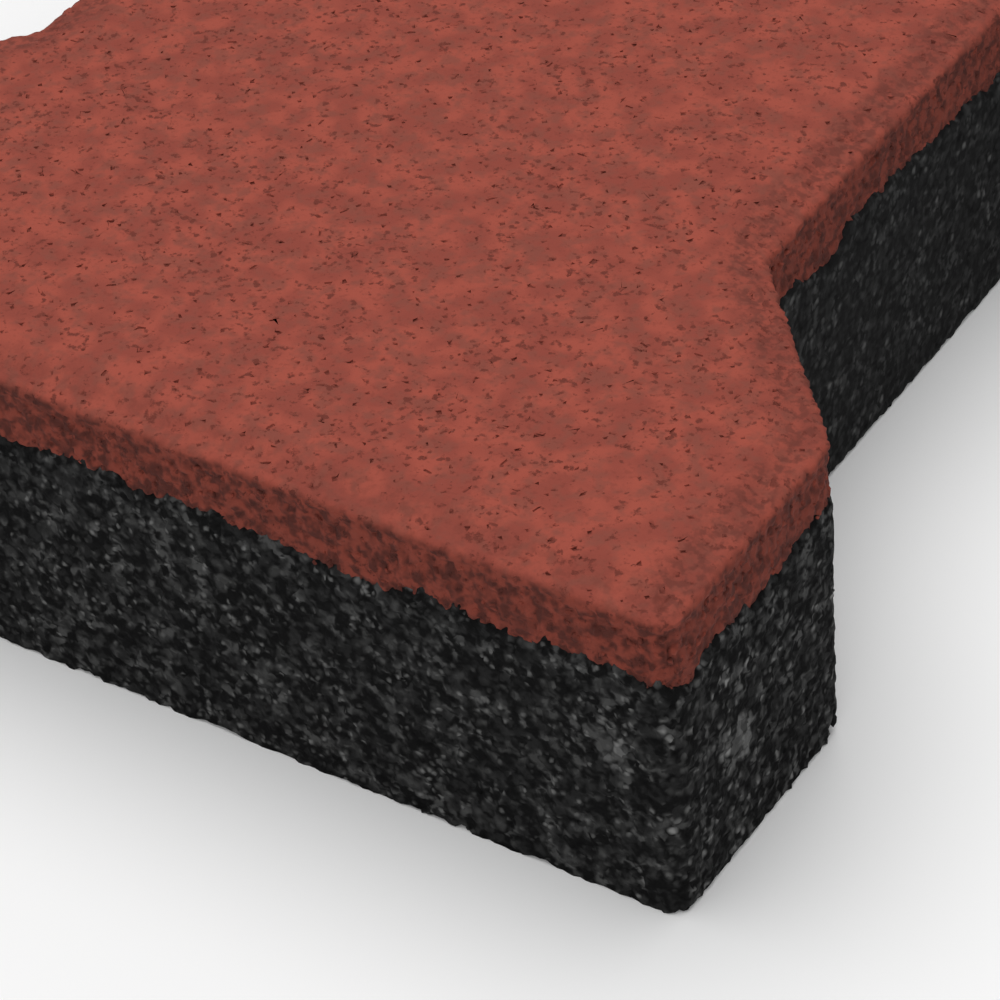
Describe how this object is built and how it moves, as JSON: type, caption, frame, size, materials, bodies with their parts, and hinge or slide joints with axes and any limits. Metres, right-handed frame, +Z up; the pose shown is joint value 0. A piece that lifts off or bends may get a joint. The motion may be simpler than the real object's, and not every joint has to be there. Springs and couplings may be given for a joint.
{
  "type": "rubber paver",
  "caption": "Interlocking dog-bone paver of bonded rubber crumb: a red wearing layer with lowered edges on a thick black base of coarser crumb.",
  "frame": {"origin": "middle of the underside, where the paver rests on its bed", "axes": "+Y along the paver's length, +X across its heads, +Z up through the red walking face"},
  "size_m": [0.16, 0.2, 0.045],
  "materials": {
    "base_layer": "coarse black rubber crumb, bound open-pored, with scattered grey granules",
    "wear_layer": "fine brick-red rubber crumb, matt, with small dark pores; rough broken crumb on its sides"
  },
  "bodies": {
    "root": {"base_layer": "base_layer", "wear_layer": "wear_layer"}
  },
  "joints": []
}
